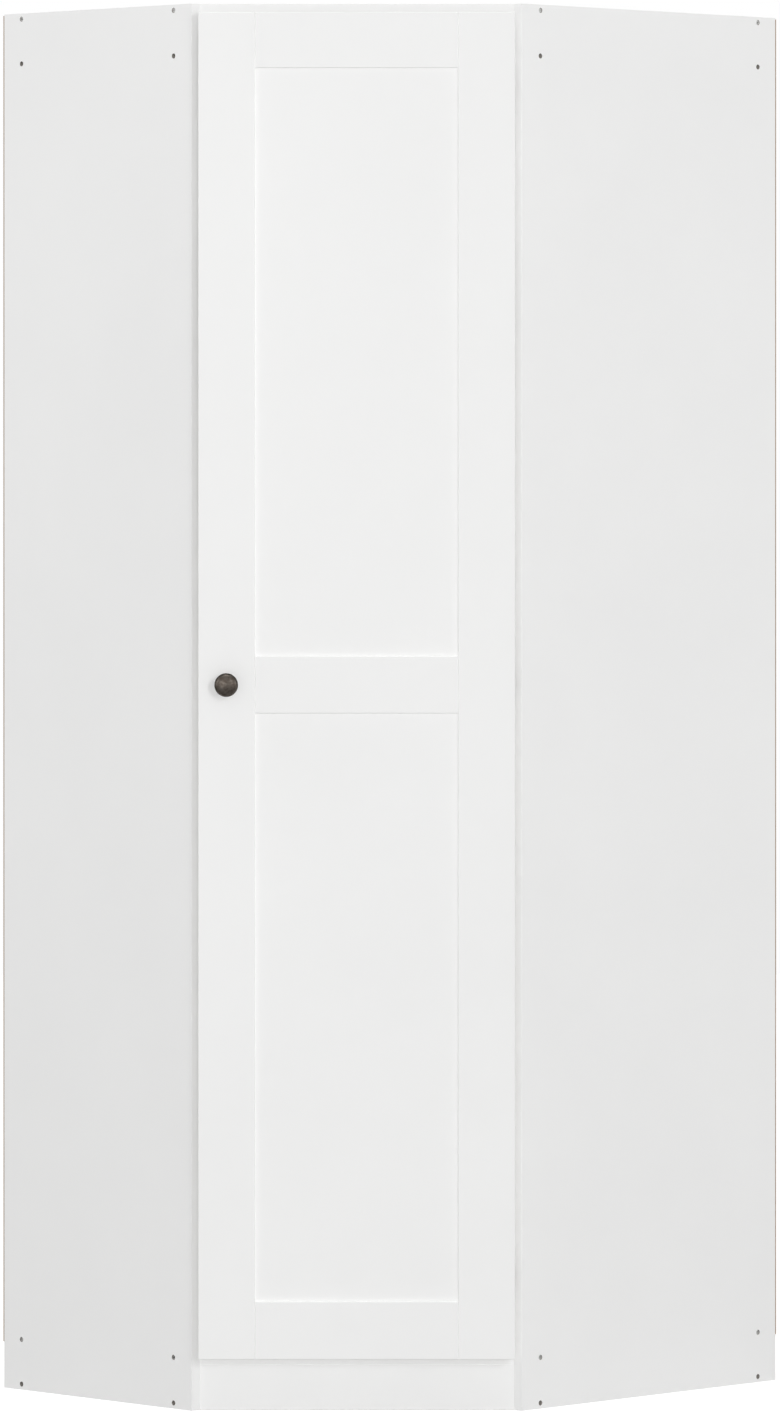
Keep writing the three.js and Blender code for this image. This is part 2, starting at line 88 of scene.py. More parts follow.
def in_front(point):
    """A point of the shared frame, in the front's axes."""
    return FRONT.inverted() @ Vector(point)


def front_box(node):
    """Lowest and highest corner of a node in the front's axes."""
    points = [in_front(vertex.co) for vertex in frame["nodes"][node].data.vertices]
    low = Vector([min(point[i] for point in points) for i in range(3)])
    high = Vector([max(point[i] for point in points) for i in range(3)])
    return low, high


print("front width", round(FRONT_WIDTH, 4), "hinge axis", [round(v, 4) for v in in_front(hinge_axis)])

# %% [markdown]
# The camera stands level, far away, at the height of a grown-up's chest, and looks straight at the diagonal
# front. Its picture is shifted, as a view camera's is, so that upright edges stay upright. The numbers
# come from the photograph's own frame of 780 by 1414 pixels.

# %% Camera
PICTURE_WIDTH = 780
PICTURE_HEIGHT = 1414
FOCAL_PIXELS = 7914
AXIS_X = 441.65
AXIS_Y = 452.95
CAMERA_DISTANCE = 11.078
CAMERA_HEIGHT = 1.341
CAMERA_FROM_LEFT_CORNER = 0.350
SENSOR = 36

camera_data = bpy.data.cameras.new("camera")
camera_data.sensor_width = SENSOR
camera_data.lens = SENSOR * FOCAL_PIXELS / PICTURE_HEIGHT
camera_data.shift_x = (PICTURE_WIDTH / 2 - AXIS_X) / PICTURE_HEIGHT
camera_data.shift_y = (AXIS_Y - PICTURE_HEIGHT / 2) / PICTURE_HEIGHT
camera_data.clip_end = 60
camera = bpy.data.objects.new("camera", camera_data)
camera.location = left_corner - ACROSS * CAMERA_FROM_LEFT_CORNER + OUT * CAMERA_DISTANCE
camera.location.z = CAMERA_HEIGHT
camera.rotation_euler = (math.radians(90), 0, math.radians(-45))
bpy.context.scene.collection.objects.link(camera)
bpy.context.scene.camera = camera
shift = (round(camera_data.shift_x, 4), round(camera_data.shift_y, 4))
print("lens", round(camera_data.lens, 1), "shift", shift)

# %% [markdown]
# A white object needs light with a side to it, or its edges vanish, but deep shadow in every gap would draw
# it in black lines. So the world gives a little light from everywhere, two square lamps at the front right
# cast the shadows of the door and the knob, two more light the back, and fills without shadows lift each
# side to its own tone. The background stays white for the camera and in reflections alone.
#
# A lamp's numbers are its turn to the right and its rise, in degrees, its distance and size, in metres, and
# its watts. A fill has no size of its own: all fills look equally large from the wardrobe.

# %% Light
WORLD_LIGHT = 0.40
FILL_SPREAD = math.radians(20)
LAMPS = {
    "key_high": (28, 17, 12.0, 1.5, 156),
    "key_low": (28, 5, 12.0, 1.8, 124),
    "rear_left": (-135, 12, 12.0, 3.0, 300),
    "rear_right": (135, 12, 12.0, 3.0, 300),
}
FILLS = {
    "fill_left": (-75, 20, 5.0, 39),
    "fill_front": (-20, 8, 12.0, 384),
    "fill_right": (75, 8, 12.0, 256),
    "fill_top": (0, 90, 12.0, 316),
}


def link(tree, source, target):
    tree.links.new(source, target)


def make_world():
    world = bpy.data.worlds.new("studio")
    world.use_nodes = True
    tree = world.node_tree
    tree.nodes.clear()
    output = tree.nodes.new("ShaderNodeOutputWorld")
    soft = tree.nodes.new("ShaderNodeBackground")
    soft.inputs["Color"].default_value = (1, 1, 1, 1)
    soft.inputs["Strength"].default_value = WORLD_LIGHT
    seen = tree.nodes.new("ShaderNodeBackground")
    seen.inputs["Color"].default_value = (1, 1, 1, 1)
    path = tree.nodes.new("ShaderNodeLightPath")
    either = tree.nodes.new("ShaderNodeMath")
    either.operation = "MAXIMUM"
    mix = tree.nodes.new("ShaderNodeMixShader")
    link(tree, path.outputs["Is Camera Ray"], either.inputs[0])
    link(tree, path.outputs["Is Glossy Ray"], either.inputs[1])
    link(tree, either.outputs[0], mix.inputs[0])
    link(tree, soft.outputs[0], mix.inputs[1])
    link(tree, seen.outputs[0], mix.inputs[2])
    link(tree, mix.outputs[0], output.inputs["Surface"])
    bpy.context.scene.world = world


def make_lamp(name, turn, rise, distance, size, watts, shadow=True):
    """A square lamp facing the middle of the front, turned right of it and raised, both in degrees."""
    data = bpy.data.lights.new(name, "AREA")
    data.shape = "SQUARE"
    data.size = size
    data.energy = watts
    data.use_shadow = shadow
    target = (left_corner + right_corner) / 2 + UP * HEIGHT / 2
    way = Matrix.Rotation(math.radians(turn), 3, "Z") @ OUT
    way = way * math.cos(math.radians(rise)) + UP * math.sin(math.radians(rise))
    light = bpy.data.objects.new(name, data)
    light.location = target + way * distance
    light.rotation_euler = (-way).to_track_quat("-Z", "Y").to_euler()
    bpy.context.scene.collection.objects.link(light)


def make_fill(name, turn, rise, distance, watts):
    """A large lamp that casts no shadow."""
    make_lamp(name, turn, rise, distance, 2 * distance * math.tan(FILL_SPREAD / 2), watts, False)


make_world()
for name, values in LAMPS.items():
    make_lamp(name, *values)
for name, values in FILLS.items():
    make_fill(name, *values)
bpy.context.scene.view_settings.view_transform = "Standard"
print("lights", sorted(LAMPS) + sorted(FILLS))

# %% [markdown]
# The floor is a large grey disc. It takes the object's soft shadow, and a light of its own that only the
# camera sees lifts it to the white of the background.

# %% Floor
FLOOR_RADIUS = 9.0
FLOOR_SIDES = 96
FLOOR_COLOUR = (0.5, 0.5, 0.5, 1)
FLOOR_LIFT = 0.62


def make_floor():
    mesh = bpy.data.meshes.new("floor")
    work = bmesh.new()
    bmesh.ops.create_circle(work, cap_ends=True, segments=FLOOR_SIDES, radius=FLOOR_RADIUS)
    work.to_mesh(mesh)
    work.free()
    floor = bpy.data.objects.new("floor", mesh)
    bpy.context.scene.collection.objects.link(floor)
    material = bpy.data.materials.new("floor")
    material.use_nodes = True
    tree = material.node_tree
    shader = tree.nodes["Principled BSDF"]
    shader.inputs["Base Color"].default_value = FLOOR_COLOUR
    shader.inputs["Roughness"].default_value = 0.9
    shader.inputs["Emission Color"].default_value = (1, 1, 1, 1)
    path = tree.nodes.new("ShaderNodeLightPath")
    lift = tree.nodes.new("ShaderNodeMath")
    lift.operation = "MULTIPLY"
    lift.inputs[1].default_value = FLOOR_LIFT
    link(tree, path.outputs["Is Camera Ray"], lift.inputs[0])
    link(tree, lift.outputs[0], shader.inputs["Emission Strength"])
    mesh.materials.append(material)


make_floor()
print("floor radius", FLOOR_RADIUS)

# %% [markdown]
# Several finishes share the same small effects: a fine peel on foil and lacquer, a slow drift of tone,
# rubbed edges, and long streaks for drawn metal and wood. Each effect is a node group with named inputs,
# built once and placed in every material that needs it. This cell holds the helpers that build groups.

# %% Helpers for node groups
def start_group(name, inputs, outputs):
    """A new shader group with number or colour inputs, given with their defaults, and named outputs."""
    tree = bpy.data.node_groups.new(name, "ShaderNodeTree")
    for label, default in inputs.items():
        kind = "NodeSocketColor" if isinstance(default, tuple) else "NodeSocketFloat"
        tree.interface.new_socket(label, in_out="INPUT", socket_type=kind).default_value = default
    for label, kind in outputs.items():
        tree.interface.new_socket(label, in_out="OUTPUT", socket_type=kind)
    return tree, tree.nodes.new("NodeGroupInput"), tree.nodes.new("NodeGroupOutput")


def node(tree, kind, settings=None, values=None):
    """A node with its settings and the values of its unlinked inputs."""
    made = tree.nodes.new(kind)
    for key, value in (settings or {}).items():
        setattr(made, key, value)
    for key, value in (values or {}).items():
        made.inputs[key].default_value = value
    return made


def object_places(tree, stretch=(1, 1, 1)):
    """Object coordinates, stretched along the axes."""
    place = node(tree, "ShaderNodeTexCoord")
    mapping = node(tree, "ShaderNodeMapping", values={"Scale": stretch})
    link(tree, place.outputs["Object"], mapping.inputs["Vector"])
    return mapping.outputs["Vector"]


def noise(tree, places, scale, detail=2.0, roughness=0.5):
    """A noise texture on the given places; scale is a number or a socket."""
    made = node(tree, "ShaderNodeTexNoise", values={"Detail": detail, "Roughness": roughness})
    link(tree, places, made.inputs["Vector"])
    if isinstance(scale, (int, float)):
        made.inputs["Scale"].default_value = scale
    else:
        link(tree, scale, made.inputs["Scale"])
    return made.outputs["Fac"]


def calculate(tree, operation, first, second):
    """A math node; each side is a number or a socket."""
    made = node(tree, "ShaderNodeMath", {"operation": operation})
    for i, side in enumerate((first, second)):
        if isinstance(side, (int, float)):
            made.inputs[i].default_value = side
        else:
            link(tree, side, made.inputs[i])
    return made.outputs[0]


def spread(tree, value, low, high, to_low=0.0, to_high=1.0):
    """Maps a value from one range to another, and stops at its ends."""
    ends = {"From Min": low, "From Max": high, "To Min": to_low, "To Max": to_high}
    made = node(tree, "ShaderNodeMapRange", values=ends)
    link(tree, value, made.inputs["Value"])
    return made.outputs["Result"]


def blend_colours(tree, factor, first, second):
    """A colour between two; each is a colour or a socket."""
    made = node(tree, "ShaderNodeMix", {"data_type": "RGBA"})
    link(tree, factor, made.inputs["Factor"])
    for label, side in (("A", first), ("B", second)):
        socket = [s for s in made.inputs if s.name == label and s.type == "RGBA"][0]
        if isinstance(side, tuple):
            socket.default_value = side
        else:
            link(tree, side, socket)
    return [s for s in made.outputs if s.type == "RGBA"][0]


print("helpers ready")

# %% [markdown]
# Peel is the faint unevenness of foil and lacquer, about a millimetre across, with some broader waviness.
# It puts out a height, which a Bump node in each material turns into normals. Drift mixes two close
# tones over a hand's breadth and more, because no real sheet is one flat colour.

# %% Groups: peel and drift
def build_peel():
    tree, given, put = start_group("peel", {"Scale": 700.0, "Waviness": 0.4}, {"Height": "NodeSocketFloat"})
    places = object_places(tree)
    fine = noise(tree, places, given.outputs["Scale"], 1.0)
    broad = noise(tree, places, 24.0, 1.0)
    waved = calculate(tree, "MULTIPLY", broad, given.outputs["Waviness"])
    link(tree, calculate(tree, "ADD", fine, waved), put.inputs["Height"])
    return tree


def build_drift():
    inputs = {"First": (0.9, 0.9, 0.9, 1.0), "Second": (0.88, 0.88, 0.88, 1.0), "Scale": 5.0}
    tree, given, put = start_group("drift", inputs, {"Color": "NodeSocketColor"})
    patches = noise(tree, object_places(tree), given.outputs["Scale"], 3.0, 0.6)
    mask = spread(tree, patches, 0.35, 0.65)
    tones = blend_colours(tree, mask, given.outputs["First"], given.outputs["Second"])
    link(tree, tones, put.inputs["Color"])
    return tree


PEEL = build_peel()
DRIFT = build_drift()
print("groups", PEEL.name, DRIFT.name)

# %% [markdown]
# Rub finds convex edges from how pointed the mesh is there, and breaks the mask up with noise, so that
# metal looks handled along its edges. Streaks stretches noise along one axis, for drawn tube, pressed
# steel and the grain of wood.

# %% Groups: rub and streaks
def build_rub():
    inputs = {"From": 0.52, "To": 0.58, "Breakup": 0.35, "Scale": 900.0}
    tree, given, put = start_group("rub", inputs, {"Mask": "NodeSocketFloat"})
    shape = node(tree, "ShaderNodeNewGeometry")
    patches = noise(tree, object_places(tree), given.outputs["Scale"], 3.0)
    loss = calculate(tree, "MULTIPLY", patches, given.outputs["Breakup"])
    kept = calculate(tree, "SUBTRACT", 1.0, loss)
    made = node(tree, "ShaderNodeMapRange")
    link(tree, shape.outputs["Pointiness"], made.inputs["Value"])
    link(tree, given.outputs["From"], made.inputs["From Min"])
    link(tree, given.outputs["To"], made.inputs["From Max"])
    link(tree, calculate(tree, "MULTIPLY", made.outputs["Result"], kept), put.inputs["Mask"])
    return tree


def build_streaks():
    inputs = {"Along X": 1.0, "Along Y": 1.0, "Along Z": 1.0, "Scale": 100.0}
    tree, given, put = start_group("streaks", inputs, {"Mask": "NodeSocketFloat"})
    place = node(tree, "ShaderNodeTexCoord")
    stretch = node(tree, "ShaderNodeCombineXYZ")
    for axis in "XYZ":
        link(tree, given.outputs[f"Along {axis}"], stretch.inputs[axis])
    times = node(tree, "ShaderNodeVectorMath", {"operation": "MULTIPLY"})
    link(tree, place.outputs["Object"], times.inputs[0])
    link(tree, stretch.outputs[0], times.inputs[1])
    lines = noise(tree, times.outputs[0], given.outputs["Scale"], 4.0, 0.65)
    link(tree, spread(tree, lines, 0.3, 0.7), put.inputs["Mask"])
    return tree


RUB = build_rub()
STREAKS = build_streaks()
print("groups", RUB.name, STREAKS.name)

# %% [markdown]
# A material here is one Principled shader with the groups placed round it. This helper starts it, places a
# group in it and makes the bump, so that each finish below only says what is special about it.

# %% Helpers for materials
def start_material(name, colour, roughness, metallic=0.0):
    material = bpy.data.materials.new(name)
    material.use_nodes = True
    tree = material.node_tree
    shader = tree.nodes["Principled BSDF"]
    shader.inputs["Base Color"].default_value = (*colour, 1)
    shader.inputs["Roughness"].default_value = roughness
    shader.inputs["Metallic"].default_value = metallic
    return material, tree, shader


def placed(tree, group, values=None):
    made = node(tree, "ShaderNodeGroup", {"node_tree": group})
    for key, value in (values or {}).items():
        made.inputs[key].default_value = value
    return made


def bump(tree, shader, height, strength, distance):
    made = node(tree, "ShaderNodeBump", values={"Strength": strength, "Distance": distance})
    link(tree, height, made.inputs["Height"])
    link(tree, made.outputs["Normal"], shader.inputs["Normal"])


print("material helpers ready")

# %% [markdown]
# The case is chipboard faced with white melamine foil, which has a fine satin peel. The door is smoother
# and a touch brighter. Both drift by about a hundredth in tone, and their gloss drifts with it.

# %% White foil and white door
def white_finish(name, colour, shade, roughness, peel_scale, strength):
    material, tree, shader = start_material(name, colour, roughness)
    tone = placed(tree, DRIFT, {"First": (*colour, 1), "Second": (*shade, 1), "Scale": 3.0})
    link(tree, tone.outputs["Color"], shader.inputs["Base Color"])
    gloss = noise(tree, object_places(tree), 18.0, 3.0)
    drifting = spread(tree, gloss, 0.3, 0.7, roughness - 0.04, roughness + 0.05)
    link(tree, drifting, shader.inputs["Roughness"])
    skin = placed(tree, PEEL, {"Scale": peel_scale, "Waviness": 0.5})
    bump(tree, shader, skin.outputs["Height"], strength, 0.0004)
    return material


WHITE_FOIL = white_finish("white_foil", (0.875, 0.875, 0.87), (0.86, 0.86, 0.856), 0.42, 800.0, 0.16)
WHITE_DOOR = white_finish("white_door_foil", (0.885, 0.885, 0.88), (0.873, 0.873, 0.868), 0.38, 650.0, 0.10)
print("white finishes", WHITE_FOIL.name, WHITE_DOOR.name)

# %% [markdown]
# Where no foil covers it, chipboard shows its pressed chips: pale and dark flakes a few millimetres long.
# Inside a drilled hole the chips are painted darker and greyer, as painted shade for the depth of the hole.
# Hardboard is a brown felt of wood fibre, much finer, with clouds of tone and a faint sheen on its smooth
# face.

# %% Raw chipboard and hardboard
def build_chips():
    inputs = {"Pale": (0.6, 0.45, 0.28, 1.0), "Dark": (0.3, 0.19, 0.1, 1.0), "Scale": 350.0}
    outputs = {"Color": "NodeSocketColor", "Height": "NodeSocketFloat"}
    tree, given, put = start_group("chips", inputs, outputs)
    places = object_places(tree, (1.0, 1.0, 2.2))
    cells = node(tree, "ShaderNodeTexVoronoi")
    link(tree, places, cells.inputs["Vector"])
    link(tree, given.outputs["Scale"], cells.inputs["Scale"])
    grey = node(tree, "ShaderNodeSeparateColor")
    link(tree, cells.outputs["Color"], grey.inputs["Color"])
    tones = blend_colours(tree, grey.outputs["Red"], given.outputs["Pale"], given.outputs["Dark"])
    link(tree, tones, put.inputs["Color"])
    link(tree, cells.outputs["Distance"], put.inputs["Height"])
    return tree


CHIPS = build_chips()


def chip_finish(name, pale, dark, scale, roughness, strength):
    material, tree, shader = start_material(name, pale, roughness)
    chips = placed(tree, CHIPS, {"Pale": (*pale, 1), "Dark": (*dark, 1), "Scale": scale})
    link(tree, chips.outputs["Color"], shader.inputs["Base Color"])
    bump(tree, shader, chips.outputs["Height"], strength, 0.0005)
    return material


RAW_CHIPBOARD = chip_finish("raw_chipboard", (0.55, 0.41, 0.25), (0.27, 0.17, 0.09), 420.0, 0.85, 0.5)
# The walls of drilled holes: chipboard painted darker and greyer, as painted shade inside the holes.
DRILLED_PAINTED_SHADE = chip_finish("drilled_chipboard_painted_shade", (0.34, 0.32, 0.29), (0.18, 0.17, 0.155), 420.0, 0.9, 0.5)


def hardboard_finish():
    """Fine chips in two browns, with clouds of a plainer brown over them."""
    material, tree, shader = start_material("pressed_hardboard", (0.28, 0.16, 0.08), 0.55)
    browns = {"Pale": (0.34, 0.20, 0.105, 1), "Dark": (0.17, 0.09, 0.045, 1), "Scale": 520.0}
    plain_browns = {"First": (0.31, 0.18, 0.095, 1), "Second": (0.235, 0.13, 0.065, 1), "Scale": 7.0}
    fibre = placed(tree, CHIPS, browns)
    cloud = placed(tree, DRIFT, plain_browns)
    felt = spread(tree, noise(tree, object_places(tree), 160.0, 4.0, 0.6), 0.38, 0.62, 0.3, 0.8)
    tones = blend_colours(tree, felt, fibre.outputs["Color"], cloud.outputs["Color"])
    link(tree, tones, shader.inputs["Base Color"])
    bump(tree, shader, fibre.outputs["Height"], 0.15, 0.0004)
    return material


HARDBOARD = hardboard_finish()
print("board finishes", RAW_CHIPBOARD.name, HARDBOARD.name)

# %% [markdown]
# The corner post, the rear foot and the plinth blocks are planed softwood. Its grain is the same streaks
# effect stretched upright, between a pale and a darker tone, with a dull, slightly furry surface.

# %% Softwood
def wood_finish(name, along):
    material, tree, shader = start_material(name, (0.62, 0.44, 0.26), 0.65)
    stretch = {"Along X": 1.0, "Along Y": 1.0, "Along Z": 1.0, "Scale": 140.0}
    stretch[f"Along {along}"] = 0.05
    grain = placed(tree, STREAKS, stretch)
    tones = blend_colours(tree, grain.outputs["Mask"], (0.68, 0.50, 0.31, 1), (0.52, 0.34, 0.18, 1))
    link(tree, tones, shader.inputs["Base Color"])
    bump(tree, shader, grain.outputs["Mask"], 0.3, 0.0003)
    return material


UPRIGHT_WOOD = wood_finish("softwood_upright", "Z")
print("softwood", UPRIGHT_WOOD.name)

# %% [markdown]
# The knob is cast metal with a dark bronze patina: mottled brown and grey, and rubbed lighter on its edges.
# Its rim, the groove inside it and the lip under it take a darker bronze: patina in the groove, and painted
# shade and dark reflection on the steep rim. One noise makes the mottling, and peel gives the cast skin.

# %% Bronze
def bronze_finish(name, dark, light, roughness):
    material, tree, shader = start_material(name, dark, roughness, 0.85)
    places = object_places(tree)
    clouds = spread(tree, noise(tree, places, 190.0, 4.0, 0.65), 0.36, 0.64)
    body = blend_colours(tree, clouds, (*dark, 1), (*light, 1))
    worn = placed(tree, RUB, {"From": 0.53, "To": 0.62})
    edged = blend_colours(tree, worn.outputs["Mask"], body, (0.30, 0.26, 0.22, 1))
    link(tree, edged, shader.inputs["Base Color"])
    link(tree, spread(tree, clouds, 0, 1, roughness + 0.08, roughness - 0.08), shader.inputs["Roughness"])
    skin = placed(tree, PEEL, {"Scale": 1400.0, "Waviness": 0.8})
    bump(tree, shader, skin.outputs["Height"], 0.35, 0.0003)
    return material


BRONZE = bronze_finish("bronze", (0.060, 0.047, 0.038), (0.110, 0.096, 0.083), 0.38)
# A far darker bronze for the rim: painted shade and dark reflection, with some patina in the groove.
RIM_BRONZE_PAINTED_SHADE = bronze_finish("bronze_rim_painted_shade", (0.018, 0.014, 0.012), (0.030, 0.025, 0.022), 0.5)
print("bronze", BRONZE.name, RIM_BRONZE_PAINTED_SHADE.name)

# %% [markdown]
# Hinges are nickel plated steel, screws are zinc plated and a little duller, and the clothes rail is
# chromed tube. All three are metals whose gloss is streaked by how they were pressed, turned or drawn.

# %% Plated metals
def plated_finish(name, colour, roughness, streaks, strength):
    material, tree, shader = start_material(name, colour, roughness, 1.0)
    lines = placed(tree, STREAKS, streaks)
    low = max(roughness - 0.06, 0.02)
    link(tree, spread(tree, lines.outputs["Mask"], 0, 1, low, roughness + 0.08), shader.inputs["Roughness"])
    shade = tuple(channel * 0.9 for channel in colour)
    tones = blend_colours(tree, lines.outputs["Mask"], (*colour, 1), (*shade, 1))
    worn = placed(tree, RUB, {"From": 0.54, "To": 0.64})
    bright = tuple(min(channel * 1.15, 1) for channel in colour)
    link(tree, blend_colours(tree, worn.outputs["Mask"], tones, (*bright, 1)), shader.inputs["Base Color"])
    bump(tree, shader, lines.outputs["Mask"], strength, 0.0001)
    return material


NICKEL = plated_finish("nickel_plate", (0.62, 0.61, 0.59), 0.26, {"Along Z": 0.15, "Scale": 900.0}, 0.15)
ZINC = plated_finish("zinc_plate", (0.52, 0.52, 0.51), 0.34, {"Scale": 1500.0}, 0.2)
DRAWN_TURN = {"Along X": 0.08, "Along Y": 0.08, "Scale": 1100.0}
CHROME = plated_finish("chrome_plate", (0.72, 0.72, 0.73), 0.10, DRAWN_TURN, 0.06)
print("metals", NICKEL.name, ZINC.name, CHROME.name)

# %% [markdown]
# The rail's brackets and caps are moulded in white plastic, which has a finer and duller skin than foil.
# The backs are lacquered white on the face that shows inside.

# %% White plastic and the lacquered back
PLASTIC = white_finish("moulded_plastic", (0.80, 0.80, 0.78), (0.78, 0.78, 0.755), 0.46, 1500.0, 0.22)
WHITE_BACK = white_finish("lacquered_back", (0.84, 0.84, 0.825), (0.82, 0.82, 0.80), 0.5, 500.0, 0.3)
print("more whites", PLASTIC.name, WHITE_BACK.name)

# %% [markdown]
# Boards, posts and pressed metal already have their true shape in the frame, but every edge there is as
# sharp as a knife, and no real edge is. A copy of the node is merged, its flat faces are made whole, and a
# Bevel modifier rounds what is left. The copy then stands for the node and rides on the same body.

# %% Helpers for pieces
MERGE = 0.01 * MM
FLAT_ANGLE = math.radians(1)
EDGE_ANGLE = math.radians(28)


def make_piece(work, name, materials, body, stands_for=()):
    mesh = bpy.data.meshes.new(name)
    for edge in work.edges:
        edge.smooth = True
    work.to_mesh(mesh)
    work.free()
    kept_normals = mesh.attributes.get("custom_normal")
    if kept_normals:
        mesh.attributes.remove(kept_normals)
    for material in materials:
        mesh.materials.append(material)
    mesh.shade_smooth()
    piece = bpy.data.objects.new(name, mesh)
    bpy.context.scene.collection.objects.link(piece)
    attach(piece, body)
    if stands_for:
        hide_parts(*stands_for)
    return piece


def merged_copy(name):
    """A node's shape as a bmesh, with its loose triangles merged and its flat faces whole again."""
    work = bmesh.new()
    work.from_mesh(frame["nodes"][name].data)
    bmesh.ops.remove_doubles(work, verts=work.verts, dist=MERGE)
    bmesh.ops.dissolve_limit(work, angle_limit=FLAT_ANGLE, verts=work.verts, edges=work.edges)
    for face in work.faces:
        face.material_index = 0
    return work


def ease(piece, radius, segments=2):
    bevel = piece.modifiers.new("eased_edges", "BEVEL")
    bevel.width = radius
    bevel.segments = segments
    bevel.limit_method = "ANGLE"
    bevel.angle_limit = EDGE_ANGLE
    bevel.harden_normals = True
    return piece


def body_of(name):
    return frame["nodes"][name]["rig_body"]


def eased_copy(name, ending, materials, radius, raw=None, segments=2):
    """A node with eased edges. raw gives a face's place in materials, from its normal and middle."""
    work = merged_copy(name)
    if raw:
        for face in work.faces:
            face.material_index = int(raw(face.normal, face.calc_center_median()))
    piece = make_piece(work, f"{name}_{ending}", materials, body_of(name), [name])
    return ease(piece, radius, segments)


print("helpers for pieces ready")

# %% [markdown]
# Case boards first. Foil wraps their faces and the front and top edges; the sawn edges of the side panels at
# the floor and at the rear are raw chipboard, and so is the plinth's lower edge. Edges are rounded by less
# than a millimetre, which is what catches the light along each corner.

# %% Case boards
BOARD_EDGE = 0.7 * MM
SQUARE_ON = 0.9


def bare_faces(name, rear_direction):
    """A chooser of faces: 1 where sawn, at the floor or the wall behind, 2 inside a drilled hole, or 0."""
    low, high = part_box(name)

    def choose(normal, middle):
        if all(low[i] + MM < middle[i] < high[i] - MM for i in range(3)):
            return 2
        return int(normal.z < -SQUARE_ON or normal.dot(rear_direction) > SQUARE_ON)

    return choose


def sawn_below(normal, middle):
    """The plinth is sawn only where it stands on the floor."""
    return normal.z < -SQUARE_ON


REAR_LEFT = Vector((0, 1, 0))
REAR_RIGHT = Vector((1, 0, 0))
# Faces inside drilled holes take the drilled chipboard, whose darker grey is painted shade.
FOILED = [WHITE_FOIL, RAW_CHIPBOARD, DRILLED_PAINTED_SHADE]
for name, rear_direction in (("left_side_panel", REAR_LEFT), ("right_side_panel", REAR_RIGHT)):
    eased_copy(name, "foiled", FOILED, BOARD_EDGE, bare_faces(name, rear_direction), 3)
for deck in ("bottom_panel", "top_panel"):
    eased_copy(deck, "foiled", [WHITE_FOIL], BOARD_EDGE)
eased_copy("plinth_board", "foiled", FOILED[:2], BOARD_EDGE, sawn_below)
eased_copy("hat_shelf", "foiled", [WHITE_FOIL], BOARD_EDGE)
print("case boards eased by", BOARD_EDGE / MM, "mm")

# %% [markdown]
# The two backs are thin hardboard, brown outside and lacquered white inside.

# %% Backs
BACK_EDGE = 0.4 * MM
BACK_SINK = 0.5 * MM
BACK_FACES = [WHITE_BACK, HARDBOARD]


def dressed_back(name, outward):
    """A back with its outer face set in, which makes room for nail heads, and its inner face lacquered."""
    work = merged_copy(name)
    outer = max(vertex.co.dot(outward) for vertex in work.verts)
    skin = [vertex for vertex in work.verts if vertex.co.dot(outward) > outer - BACK_SINK]
    bmesh.ops.translate(work, verts=skin, vec=-outward * BACK_SINK)
    for face in work.faces:
        face.material_index = int(face.normal.dot(outward) > -SQUARE_ON)
    piece = make_piece(work, f"{name}_hardboard", BACK_FACES, "carcass", [name])
    return ease(piece, BACK_EDGE)


dressed_back("left_back", REAR_LEFT)
dressed_back("right_back", REAR_RIGHT)
print("backs sunk by", BACK_SINK / MM, "mm")

# %% [markdown]
# Planed timber has a softer edge than foil, about a millimetre and a half.

# %% Timber
TIMBER_EDGE = 1.4 * MM
for timber in ("corner_post", "rear_foot", "plinth_block_left", "plinth_block_right"):
    eased_copy(timber, "planed", [UPRIGHT_WOOD], TIMBER_EDGE)
print("timber eased by", TIMBER_EDGE / MM, "mm")

# %% [markdown]
# The door is a plain leaf with five strips on its face, each a piece of its own with a hairline joint.

# %% Door
LEAF_EDGE = 0.8 * MM
STRIP_EDGE = 0.35 * MM
STRIPS = ("stile_knob_side", "stile_hinge_side", "rail_top", "rail_middle", "rail_bottom")
eased_copy("door_leaf", "foiled", [WHITE_DOOR], LEAF_EDGE)
for strip in STRIPS:
    eased_copy(f"door_{strip}", "foiled", [WHITE_DOOR], STRIP_EDGE)
print("door strips", len(STRIPS))

# %% [markdown]
# Turned pieces are spun from half a profile, given as radius and distance along the axis.

# %% Spinning
FINE_STEPS = 72


def spun(profile, centre, axis, steps=FINE_STEPS):
    """A closed turned shape. Its profile runs from the axis back to the axis, or closes on itself."""
    side = axis.orthogonal().normalized()
    work = bmesh.new()
    points = [work.verts.new(centre + side * radius + axis * along) for radius, along in profile]
    edges = [work.edges.new(pair) for pair in zip(points, points[1:])]
    bmesh.ops.spin(
        work, geom=points + edges, cent=centre, axis=axis, angle=math.tau, steps=steps, use_merge=True,
    )
    bmesh.ops.remove_doubles(work, verts=work.verts, dist=MERGE)
    bmesh.ops.recalc_face_normals(work, faces=work.faces)
    return work


print("fine turning has", FINE_STEPS, "steps")

# %% [markdown]
# The knob is a low dome with a thin rim, on a waisted neck with a small round foot.

# %% Knob
KNOB_RADIUS = 16.5 * MM
KNOB_RIM_WIDTH = 1.7 * MM
KNOB_GROOVE = 0.35 * MM
KNOB_RIM_HEIGHT = 3 * MM
KNOB_NECK_RADIUS = 6.5 * MM
KNOB_FOOT_RADIUS = 9.5 * MM
KNOB_FOOT_HEIGHT = 2.5 * MM
KNOB_HEAD_FROM = 14.5 * MM
KNOB_HEAD_OVERHANG = 4.5 * MM
KNOB_LIP = [(1.2 * MM, 0.5 * MM), (0, 1.5 * MM)]
KNOB_EDGE = 0.25 * MM
FLARE_SHARE = 0.75
NECK_STEPS = 8
DOME_STEPS = 14
knob_low, knob_high = front_box("knob")
knob_height = knob_high.y - knob_low.y
knob_centre = FRONT @ Vector(((knob_low.x + knob_high.x) / 2, knob_low.y, (knob_low.z + knob_high.z) / 2))


def neck_radius(share):
    """The neck's radius, from its flare at the foot to its flare under the head."""
    flare = (KNOB_FOOT_RADIUS - KNOB_NECK_RADIUS) * FLARE_SHARE * (1 - share) ** 3
    return KNOB_NECK_RADIUS + flare + (KNOB_RADIUS - KNOB_HEAD_OVERHANG - KNOB_NECK_RADIUS) * share ** 3


